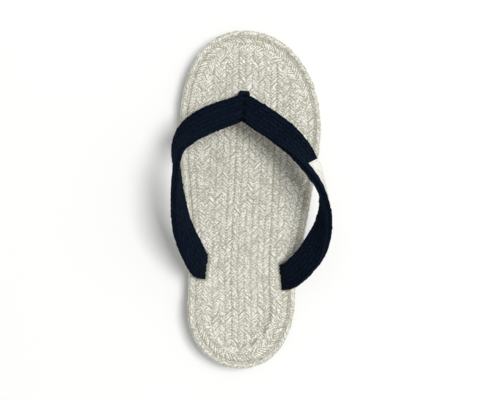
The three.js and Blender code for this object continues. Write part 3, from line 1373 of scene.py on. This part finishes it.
    def inside(self, band: Band, points: np.ndarray, spare: float) -> tuple[np.ndarray, np.ndarray]:
        """Which points lie in an arm swollen by a spare distance.

        Args:
            band: the arm.
            points: points in space.
            spare: how far the arm is swollen.

        Returns:
            A flag for each point, and how far out of the arm's middle it is.
        """
        along, across, out = band.local(points)
        near = (np.abs(across) < self.width / 2 + spare) & (np.abs(along) < self.end_reach)
        return near & (np.abs(out) < self.thickness / 2 + spare), out

    def slits(self, points: np.ndarray) -> np.ndarray:
        """Which points of the footbed's face are in the slits for the strap.

        Args:
            points: points of the sole.

        Returns:
            A flag for each point.
        """
        top = np.concatenate([points, np.full((*points.shape[:-1], 1), FOOTBED_TOP - self.slit_level)], -1)
        arms = [self.inside(band, top, self.slit_play)[0] for band in self.bands.values()]
        return np.logical_or(*arms)

    def pushed_out(self, points: np.ndarray) -> np.ndarray:
        """Points moved out of the strap, away from the sole's middle.

        Args:
            points: points in space.

        Returns:
            The points, moved where they were in the strap.
        """
        moved = points.copy()
        for band in self.bands.values():
            inside, out = self.inside(band, points, self.rim_play)
            rows, _ = nearest(points[inside], band.centre)
            shift = self.thickness / 2 + self.rim_play - out[inside]
            moved[inside] += shift[:, None] * band.out[rows]
        return moved

    def build(self, finish: Material, core_finish: Material) -> list[Piece]:
        """Makes the strap's pieces.

        Args:
            finish: the material of the braid.
            core_finish: the material inside it.

        Returns:
            The core, and the braid of the inner and the outer arm.
        """
        arms = {f"strap_{hand.name.lower()}_arm": (self.strands(hand).parts, finish) for hand in Hand}
        return make_pieces("strap", {"strap_core": ([self.core()], core_finish), **arms})


@dataclass
class ToePost:
    """The braided tab that holds the strap's point to the sole."""

    strap: Strap
    width: float = 7.6
    thickness: float = 4.0
    rounding: float = 1.25
    core_rounding: float = 0.6
    x: float = -1.6
    hole_play: float = 0.5
    core_depth: float = 0.8
    core_rings: int = 18
    braid: BandBraid = BandBraid(column=2.6, pitch=3.0, yarn_width=1.3, yarn_height=1.3, tuck=0.8)
    seed: int = 53
    route: tuple[tuple[float, float], ...] = (
        (201.6, POST_END_LIFT - FOOTBED_THICKNESS), (201.8, 1.0), (202.2, 11.0), (201.6, 18.0),
        (199.5, 21.5),
    )

    def __post_init__(self) -> None:
        """Lays out the post, from its hidden end up to the strap."""
        stations = np.array([self.strap.spot(self.x, *place) for place in self.route])
        self.band = Band(stations, np.tile([1.0, 0.0, 0.0], (len(stations), 1)), 1)

    def hole(self, points: np.ndarray) -> np.ndarray:
        """Which points of the sole are in the post's hole.

        Args:
            points: points of the sole.

        Returns:
            A flag for each point.
        """
        x, y = points[..., 0] - self.x, points[..., 1] - self.band.stations[0, 1]
        return (np.abs(x) < self.width / 2 + self.hole_play) & \
            (np.abs(y) < self.thickness / 2 + self.hole_play)

    def outer_path(self) -> SectionPath:
        """The line round the whole post.

        Returns:
            The path, which starts and ends in the middle of the rear face.
        """
        half, thick = self.width / 2, self.thickness / 2
        round_trip = corners((-half, half, -thick, thick), self.rounding,
                             (270.0, 180.0, 90.0, 0.0), -90.0)
        return SectionPath(np.vstack([[(0.0, -thick)], round_trip, [(0.0, -thick)]]))

    def core(self) -> MeshPart:
        """The closed body inside the post's braid.

        Returns:
            One tube from the hidden end to the strap.
        """
        half, thick = self.width / 2 - self.core_depth, self.thickness / 2 - self.core_depth
        section = corners((-half, half, -thick, thick), self.core_rounding,
                          (0.0, 90.0, 180.0, 270.0), 90.0, 4)
        rows = [self.band.place(np.full(len(section), station), section[:, 0], section[:, 1])
                for station in np.linspace(0.0, self.band.length, self.core_rings)]
        return tube_part(np.stack(rows), closed=False)

    def build(self, finish: Material, core_finish: Material) -> list[Piece]:
        """Makes the post's pieces.

        Args:
            finish: the material of the braid.
            core_finish: the material inside it.

        Returns:
            The core and the braid.
        """
        strands = Strands(0.38)
        rng = np.random.default_rng(self.seed)
        self.braid.floats(self.band, self.outer_path(), (0.0, self.band.length), strands, rng)
        return make_pieces("toe_post", {
            "toe_post_core": ([self.core()], core_finish),
            "toe_post_braid": (strands.parts, finish),
        })


# ---- Label ----


@dataclass
class Label:
    """A small woven tape label on the strap's outer arm, with a plain raised zigzag."""

    strap: Strap
    start: float = 62.0
    length: float = 48.0
    near: float = -5.2
    far: float = 9.0
    thickness: float = 0.5
    lift: float = 0.25
    columns: int = 84
    rows: int = 28
    zigzag_margin: float = 7.0
    zigzag_swing: float = 2.2
    zigzag_points: int = 9
    satin_count: int = 8
    stitch: float = 1.35
    stitch_step: float = 2.0
    satin: tuple[float, float] = (0.15, 0.75)
    satin_size: tuple[float, float] = (0.48, 0.3)
    stitch_size: tuple[float, float] = (0.42, 0.36)
    satin_seed: int = 71
    stitch_seed: int = 73

    def surface(self, along: np.ndarray, across: np.ndarray, out: np.ndarray) -> np.ndarray:
        """Points over the outer face of the strap, which the tape follows in slight waves.

        Args:
            along: distances along the outer arm.
            across: distances over its face, from its middle.
            out: distances over the middle of the tape.

        Returns:
            The points, with one more axis of length three.
        """
        edge = self.strap.width / 2
        wave = 0.12 * np.sin(along * 0.9 + across * 0.3) + 0.08 * np.sin(across * 1.1 + 0.4)
        drop = 0.9 * smooth(across, edge - 2.2, edge + 0.6)
        height = self.strap.thickness / 2 + self.lift + wave + out - drop
        return self.strap.bands[Hand.OUTER].place(along, across, height)

    def cloth(self) -> MeshPart:
        """The closed tape.

        Returns:
            A grid over each face, joined round the edge, thinner at the edge than inside it.
        """
        wide, tall = self.columns + 1, self.rows + 1
        u, v = np.meshgrid(np.linspace(0.0, 1.0, wide), np.linspace(0.0, 1.0, tall), indexing="ij")
        breadth = self.far - self.near
        edge = np.minimum.reduce([u * self.length, (1 - u) * self.length, v * breadth, (1 - v) * breadth])
        full = 0.5 + 0.5 * smooth(edge, -0.1, 0.5)
        along = self.start + u * self.length
        across = self.near + v * breadth + 0.12 * np.sin(u * 21.0) * (v - 0.5)
        faces = [self.surface(along, across, sign * self.thickness / 2 * full) for sign in (1, -1)]
        number = np.arange(wide * tall).reshape(wide, tall)
        top, under = grid_quads(wide, tall), wide * tall
        rim = np.concatenate([number[:-1, 0], number[-1, :-1], number[:0:-1, -1], number[0, :0:-1]])
        ahead = np.roll(rim, -1)
        quads = np.concatenate([top, top[:, ::-1] + under,
                                np.stack([rim, rim + under, ahead + under, ahead], -1)])
        corner = quads.ravel() % under
        lay = np.stack([along.ravel()[corner], across.ravel()[corner]], -1)
        return plain_part(np.concatenate([face.reshape(-1, 3) for face in faces]), quads, lay=lay)

    def threads(self, lines: Sequence[Sequence[tuple[float, float]]], width: float, height: float,
                seed: int) -> Strands:
        """Raised threads.

        Args:
            lines: both ends of each thread, as distances along and across the strap.
            width: their width.
            height: their height.
            seed: the start of their random shades.

        Returns:
            The gathered threads.
        """
        strands = Strands(0.3)
        rng = np.random.default_rng(seed)
        ends, share = np.array(lines), strands.shares[:, None]
        flat = ends[:, None, 0] * (1 - share) + ends[:, None, 1] * share
        arch = np.sin(np.pi * strands.shares) ** 0.5 * height * 0.7
        count, shape = len(ends), flat.shape[:2]
        line, under = (self.surface(flat[..., 0], flat[..., 1], np.broadcast_to(base + arch, shape))
                       for base in (self.thickness / 2 - 0.1, -1.0))
        strands.add(line, unit(line - under), np.full(count, width), np.full(count, height),
                    rng.uniform(0.2, 0.8, count), np.ones(shape))
        return strands

    def motif(self) -> Strands:
        """A plain zigzag of satin stitches down the middle of the label.

        Returns:
            The stitches.
        """
        lines, (ds, da) = [], self.satin
        ends = self.start + self.zigzag_margin, self.start + self.length - self.zigzag_margin
        points = np.linspace(*ends, self.zigzag_points)
        side = np.where(np.arange(self.zigzag_points) % 2 == 0, -1.0, 1.0)
        swing = side * self.zigzag_swing + (self.near + self.far) / 2
        for k in range(self.zigzag_points - 1):
            for t in np.arange(self.satin_count) / self.satin_count:
                s = points[k] * (1 - t) + points[k + 1] * t
                a = swing[k] * (1 - t) + swing[k + 1] * t
                lines.append(((s - ds, a - da), (s + ds, a + da)))
        return self.threads(lines, *self.satin_size, self.satin_seed)

    def sewing(self) -> Strands:
        """Small stitches that hold the label down.

        Returns:
            The stitches of its two ends and its long edges.
        """
        lines = []
        for s in (self.start + 1.1, self.start + self.length - 1.1):
            for a in np.arange(self.near + 0.8, self.far - 1.5, self.stitch_step):
                lines.append(((s, a), (s, a + self.stitch)))
        for a in (self.near + 0.9, self.far - 0.9):
            for s in np.arange(self.start + 2.2, self.start + self.length - 3.0, self.stitch_step):
                lines.append(((s, a), (s + self.stitch, a)))
        return self.threads(lines, *self.stitch_size, self.stitch_seed)

    def build(self, cloth_finish: Material, thread_finish: Material) -> list[Piece]:
        """Makes the label's pieces.

        Args:
            cloth_finish: the material of the tape.
            thread_finish: the material of the threads.

        Returns:
            The tape, its zigzag and its sewing.
        """
        cloth = make_object("label_cloth", [self.cloth()], cloth_finish)
        zigzag = make_object("label_zigzag", self.motif().parts, thread_finish)
        sewing = make_object("label_sewing", self.sewing().parts, thread_finish)
        for piece in (cloth, zigzag, sewing):
            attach(piece, BODY)
        return [cloth, zigzag, sewing]


# ---- Finishes ----


def linear(code: str) -> tuple[float, float, float, float]:
    """A colour for a shader.

    Args:
        code: its sRGB hex value.

    Returns:
        Linear red, green and blue, and full alpha.
    """
    values = [int(code[k:k + 2], 16) / 255 for k in (1, 3, 5)]
    red, green, blue = (v / 12.92 if v <= 0.04045 else ((v + 0.055) / 1.055) ** 2.4 for v in values)
    return red, green, blue, 1.0


def add_node(tree: bpy.types.NodeTree, kind: str, settings: dict[str | int, Any]) -> bpy.types.Node:
    """Adds a node to a material.

    Args:
        tree: the material's nodes.
        kind: the node's type.
        settings: its properties by name and its inputs by name or number. An input takes a
            value or another node's output.

    Returns:
        The node.
    """
    node = tree.nodes.new(kind)
    for key, value in settings.items():
        if isinstance(value, Socket):
            tree.links.new(value, node.inputs[key])
        elif isinstance(key, str) and hasattr(node, key):
            setattr(node, key, value)
        else:
            node.inputs[key].default_value = value
    return node


@dataclass
class Surface:
    """A new material and the kinds of node that the finishes are made of."""

    name: str

    def __post_init__(self) -> None:
        """Starts the material without nodes."""
        self.material = bpy.data.materials.new(self.name)
        self.material.use_nodes = True
        self.tree = self.material.node_tree
        self.tree.nodes.clear()

    def carried(self, name: str) -> Socket:
        """What the mesh carries at each point under a name."""
        return add_node(self.tree, "ShaderNodeAttribute", {"attribute_name": name}).outputs["Fac"]

    def lay(self) -> list[Socket]:
        """The two numbers that each face corner carries: where it lies along and around."""
        corner = add_node(self.tree, "ShaderNodeUVMap", {"uv_map": "lay"}).outputs[0]
        return list(add_node(self.tree, "ShaderNodeSeparateXYZ", {0: corner}).outputs)[:2]

    def noise(self, grain_mm: float, detail: float) -> Socket:
        """Soft noise.

        Args:
            grain_mm: about how big its grains are.
            detail: how many finer layers it has.

        Returns:
            The noise, round a half.
        """
        place = add_node(self.tree, "ShaderNodeTexCoord", {}).outputs["Object"]
        settings = {"Scale": 1 / (grain_mm * MM), "Detail": detail, "Vector": place}
        return add_node(self.tree, "ShaderNodeTexNoise", settings).outputs["Fac"]

    def math(self, operation: str, *values: float | Socket) -> Socket:
        """The result of one operation on numbers."""
        settings = {"operation": operation, **dict(enumerate(values))}
        return add_node(self.tree, "ShaderNodeMath", settings).outputs[0]

    def ridges(self, value: Socket, spacing: float = 1.0) -> Socket:
        """A sine wave over a value, with one crest in each spacing."""
        return self.math("SINE", self.math("MULTIPLY", value, 2 * math.pi / spacing))

    def span(self, value: Socket, ends: tuple[float, float]) -> Socket:
        """A value stretched so that two ends become 0 and 1."""
        settings = {"From Min": ends[0], "From Max": ends[1], "Value": value}
        return add_node(self.tree, "ShaderNodeMapRange", settings).outputs[0]

    def blend(self, share: Socket, low: Any, high: Any) -> Socket:
        """A colour between two others."""
        settings = {"data_type": "RGBA", 0: share, 6: low, 7: high}
        return add_node(self.tree, "ShaderNodeMix", settings).outputs[2]

    def relief(self, height: Socket, strength: float, depth_mm: float) -> Socket:
        """The normals of a shallow relief."""
        settings = {"Strength": strength, "Distance": depth_mm * MM, "Height": height}
        return add_node(self.tree, "ShaderNodeBump", settings).outputs[0]

    def finished(self, settings: dict[str, Any]) -> Material:
        """Gives the material its shader and its output.

        Args:
            settings: the shader's inputs by name.

        Returns:
            The material.
        """
        shader = add_node(self.tree, "ShaderNodeBsdfPrincipled", settings).outputs[0]
        add_node(self.tree, "ShaderNodeOutputMaterial", {0: shader})
        return self.material


@dataclass(frozen=True)
class SpunCotton:
    """Soft cotton, spun, plied and braided: matt, so no highlight shows what way it faces.

    Its short fibres stand off the yarn and catch a little light at its edges, which is the
    sheen. Each yarn has taken a little more or less colour than the next, light gets lost in
    the grooves between them, and loose fibres leave light and dark flecks, so the eye reads
    one soft grainy surface and not a smooth rope. Real flecks are half a millimetre and less.
    They are drawn at 1.15 mm, and the ply at 1.1 mm, as coarse as they need to be to show.
    """

    name: str
    light: str
    dark: str
    groove_shade: str
    roughness: float = 0.92
    sheen: float = 0.35
    sheen_tint: str = "#ffffff"
    sheen_roughness: float = 0.5
    specular: float = 0.25
    ply_mm: float = 1.1
    ply_depth: float = 0.5
    fibre_mm: float = 0.35
    fleck_mm: float = 1.15
    blotch_mm: float = 9.0
    yarn_share: float = 0.35
    fleck_share: float = 4.0
    shade_ends: tuple[float, float] = (2.1, 3.2)
    facing_shade_ends: tuple[float, float] = (-0.3, 0.75)
    crest_shade_ends: tuple[float, float] = (0.2, 0.9)
    relief_strength: float = 0.6
    relief_mm: float = 0.25

    def build(self) -> Material:
        """Makes the material.

        Returns:
            The material, with painted shade in the grooves: the groove colour on the yarn sides that face
            into the braid and at the tucked ends of the yarns.
        """
        new = Surface(self.name)
        along, around = new.lay()
        shade = new.math("MULTIPLY_ADD", new.carried("tint"), self.yarn_share,
                        new.noise(self.blotch_mm, 3.0))
        shade = new.math("MULTIPLY_ADD", new.noise(self.fleck_mm, 1.0), self.fleck_share, shade)
        colour = new.blend(new.span(shade, self.shade_ends), linear(self.dark), linear(self.light))
        # Painted shade: where a yarn turns down into the braid or tucks under its neighbours, the groove
        # colour takes over.
        unshaded = new.math("MULTIPLY", new.span(new.ridges(around), self.facing_shade_ends),
                          new.span(new.carried("crest"), self.crest_shade_ends))
        ply = new.ridges(new.math("MULTIPLY_ADD", along, 1 / self.ply_mm, around))
        relief = new.math("MULTIPLY_ADD", ply, 0.5 * self.ply_depth, new.noise(self.fibre_mm, 2.0))
        return new.finished({
            "Base Color": new.blend(unshaded, linear(self.groove_shade), colour),
            "Normal": new.relief(relief, self.relief_strength, self.relief_mm),
            "Roughness": self.roughness, "Specular IOR Level": self.specular,
            "Sheen Weight": self.sheen, "Sheen Roughness": self.sheen_roughness,
            "Sheen Tint": linear(self.sheen_tint),
        })


@dataclass(frozen=True)
class WovenTape:
    """Polyester label tape, woven on a narrow loom and heat set.

    Its filament yarns lie flat and have no fuzz, so beside the cotton the eye sees a smoother,
    slightly brighter cloth. Real ribs are about 0.3 mm apart. They are drawn at 0.6 mm, as
    coarse as they need to be to show.
    """

    name: str
    light: str
    dark: str
    rib_mm: float = 0.6
    pick_ratio: float = 1.5
    soil_mm: float = 6.0
    roughness: float = 0.7
    specular: float = 0.35
    sheen: float = 0.15
    relief_strength: float = 0.5
    relief_mm: float = 0.12

    def build(self) -> Material:
        """Makes the material.

        Returns:
            The material, with ribs both ways and a little uneven white.
        """
        new = Surface(self.name)
        along, around = new.lay()
        weave = new.math("MULTIPLY", new.ridges(along, self.rib_mm),
                        new.ridges(around, self.rib_mm * self.pick_ratio))
        return new.finished({
            "Base Color": new.blend(new.noise(self.soil_mm, 3.0), linear(self.dark), linear(self.light)),
            "Normal": new.relief(weave, self.relief_strength, self.relief_mm),
            "Roughness": self.roughness, "Specular IOR Level": self.specular,
            "Sheen Weight": self.sheen,
        })


@dataclass(frozen=True)
class StudioPaper:
    """Uncoated white studio paper off a roll: even and matt, so that only shadows show on it."""

    name: str = "studio_paper"
    shade: str = "#e3e3e2"
    roughness: float = 0.95
    specular: float = 0.1

    def build(self) -> Material:
        """Makes the material."""
        matt = {"Roughness": self.roughness, "Specular IOR Level": self.specular}
        return Surface(self.name).finished({"Base Color": linear(self.shade), **matt})


# ---- Studio ----


@dataclass
class Studio:
    """The floor, the lights and the camera."""

    eye: tuple[float, float, float] = (-54.2, 2.1, 700.0)
    aim: tuple[float, float, float] = (3.0, 0.0, 18.0)
    upward: tuple[float, float, float] = (-0.015, 0.9999, 0.0)
    focal_mm: float = 67.5
    clip_m: tuple[float, float] = (0.01, 20.0)
    floor_mm: float = 6000.0
    floor_squares: int = 24
    room_strength: float = 0.59
    key_place: tuple[float, float, float] = (960.0, 400.0, 3000.0)
    key_size: float = 1300.0
    key_watts: float = 84.0

    def floor(self) -> None:
        """Lays the paper that the shoe stands on."""
        half, count = self.floor_mm / 2, self.floor_squares + 1
        x, y = np.meshgrid(*[np.linspace(-half, half, count)] * 2, indexing="ij")
        vertices = np.stack([x, y, np.zeros_like(x)], -1).reshape(-1, 3)
        part = plain_part(vertices, grid_quads(count, count))
        make_object("floor", [part], StudioPaper().build())

    def key_lamp(self) -> None:
        """Hangs a big soft square lamp that looks at the shoe."""
        lamp = bpy.data.lights.new("key_lamp", "AREA")
        lamp.energy = self.key_watts
        lamp.size = self.key_size * MM
        holder = bpy.data.objects.new("key_lamp", lamp)
        place = Vector(self.key_place)
        holder.location = place * MM
        holder.rotation_euler = (-place).to_track_quat("-Z", "Y").to_euler()
        bpy.context.scene.collection.objects.link(holder)

    def room(self) -> None:
        """Fills the room with even white light, shown as it is."""
        world = bpy.data.worlds.new("room")
        world.use_nodes = True
        back = world.node_tree.nodes["Background"]
        back.inputs["Color"].default_value = (1.0, 1.0, 1.0, 1.0)
        back.inputs["Strength"].default_value = self.room_strength
        bpy.context.scene.world = world
        bpy.context.scene.view_settings.view_transform = "Standard"

    def camera(self) -> None:
        """Sets up the camera over the shoe."""
        camera = bpy.data.cameras.new("camera")
        camera.lens = self.focal_mm
        camera.clip_start, camera.clip_end = self.clip_m
        holder = bpy.data.objects.new("camera", camera)
        back = (Vector(self.eye) - Vector(self.aim)).normalized()
        right = Vector(self.upward).cross(back).normalized()
        turn = Matrix((right, back.cross(right), back)).transposed()
        holder.matrix_world = Matrix.Translation(Vector(self.eye) * MM) @ turn.to_4x4()
        bpy.context.scene.collection.objects.link(holder)
        bpy.context.scene.camera = holder

    def build(self) -> None:
        """Sets up the floor, the lamp, the light of the room and the camera."""
        for step in (self.floor, self.key_lamp, self.room, self.camera):
            step()


def main() -> None:
    """Builds the shoe piece by piece and reports each one."""
    logging.basicConfig(level=logging.INFO, format="%(name)s: %(message)s")
    Studio().build()
    outline = Outline()
    strap = Strap(outline)
    post = ToePost(strap)
    # Cotton scoured but not dyed: a warm white, and grey-brown where the light gets lost in it.
    natural = SpunCotton("braided_cotton_natural", "#ecebe3", "#aaa899", "#a09d8c").build()
    # The same cotton in the edge braid, painted a little greyer as shade on its rounded wall, which falls
    # away from the light.
    edge_shaded = SpunCotton("braided_cotton_edge_shaded", "#ebeae1", "#a9a797", "#9e9b89").build()
    # Yarn dyed before it was braided: nearly black, and blue only where fibres catch the light.
    navy = SpunCotton("braided_cotton_navy", "#0c1829", "#050c17", "#010307", sheen=0.03,
                      sheen_tint="#8fa0b8", specular=0.06).build()
    # The cores are what shows deep between the yarns: the same cottons, painted darker as the shade that
    # falls there, and without sheen.
    shadow = SpunCotton("cotton_core_natural_shaded", "#b5b2a2", "#9f9c8c", "#9f9c8c", sheen=0.0).build()
    dark = SpunCotton("cotton_core_navy_shaded", "#050b14", "#03070d", "#03070d", sheen=0.0,
                      specular=0.05).build()
    tape = WovenTape("label_tape_white", "#e2e1d9", "#d6d5cc").build()
    thread = WovenTape("label_thread_grey", "#bdbcb3", "#adaca2").build()
    footbed = BraidedLayer(outline, Face.TOP, "footbed", "footbed_rope", 11,
                           openings=[strap.slits, post.hole])
    sole = BraidedLayer(outline, Face.UNDER, "sole", "sole_rope", 13)
    binding = BandBraid(column=4.7, pitch=4.2, yarn_width=1.55, yarn_height=1.6, tuck=1.4, overlap=0.36)
    pieces: list[Piece] = []
    pieces += footbed.build(natural, shadow)
    pieces += sole.build(natural, shadow)
    pieces += EdgeBraid(outline, binding, avoid=strap.pushed_out).build(edge_shaded, shadow)
    pieces += strap.build(navy, dark)
    pieces += post.build(navy, dark)
    pieces += Label(strap).build(tape, thread)
    total = 0
    for piece in pieces:
        piece.data.calc_loop_triangles()
        count = len(piece.data.loop_triangles)
        total += count
        LOG.info("%s: %d triangles", piece.name, count)
    LOG.info("in all: %d triangles", total)


if __name__ == "__main__":
    main()
